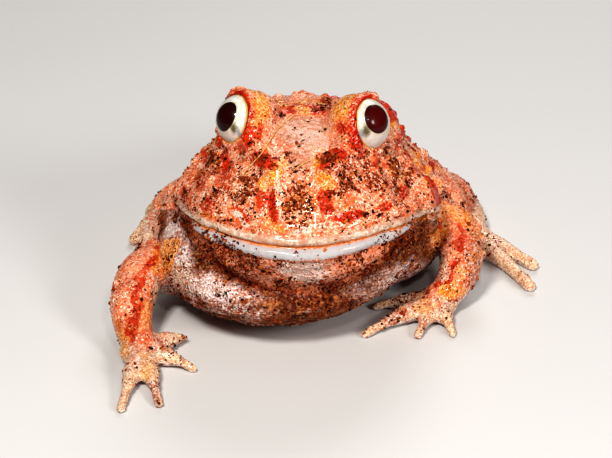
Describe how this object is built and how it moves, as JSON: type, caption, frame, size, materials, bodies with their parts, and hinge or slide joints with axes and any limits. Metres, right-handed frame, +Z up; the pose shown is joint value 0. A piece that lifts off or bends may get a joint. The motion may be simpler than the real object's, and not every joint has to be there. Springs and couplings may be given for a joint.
{
  "type": "horned frog",
  "caption": "Life-size squat horned frog with a wide mouth, raised brows over round eyes, a warty back and folded legs.",
  "frame": {"origin": "centre of the footprint's bounding box on the floor that the frog rests on", "axes": "-Y is the way the frog faces, +X is to the right of a viewer in front of it, +Z is up"},
  "size_m": [0.0906, 0.1102, 0.0508],
  "materials": {
    "skin": "moist, mottled orange and pink",
    "pale_skin": "moist, pale with brown specks",
    "eye": "wet and glossy, cream with a dark maroon pupil"
  },
  "bodies": {
    "root": {"head": "skin", "lower_jaw": "pale_skin", "torso": "skin", "eye_left": "eye", "eye_right": "eye", "upper_arm_left": "skin", "upper_arm_right": "skin", "forearm_left": "skin", "forearm_right": "skin", "hand_left": "skin", "hand_right": "skin", "thigh_left": "skin", "thigh_right": "skin", "shank_left": "skin", "shank_right": "skin", "foot_left": "skin", "foot_right": "skin"}
  },
  "joints": []
}
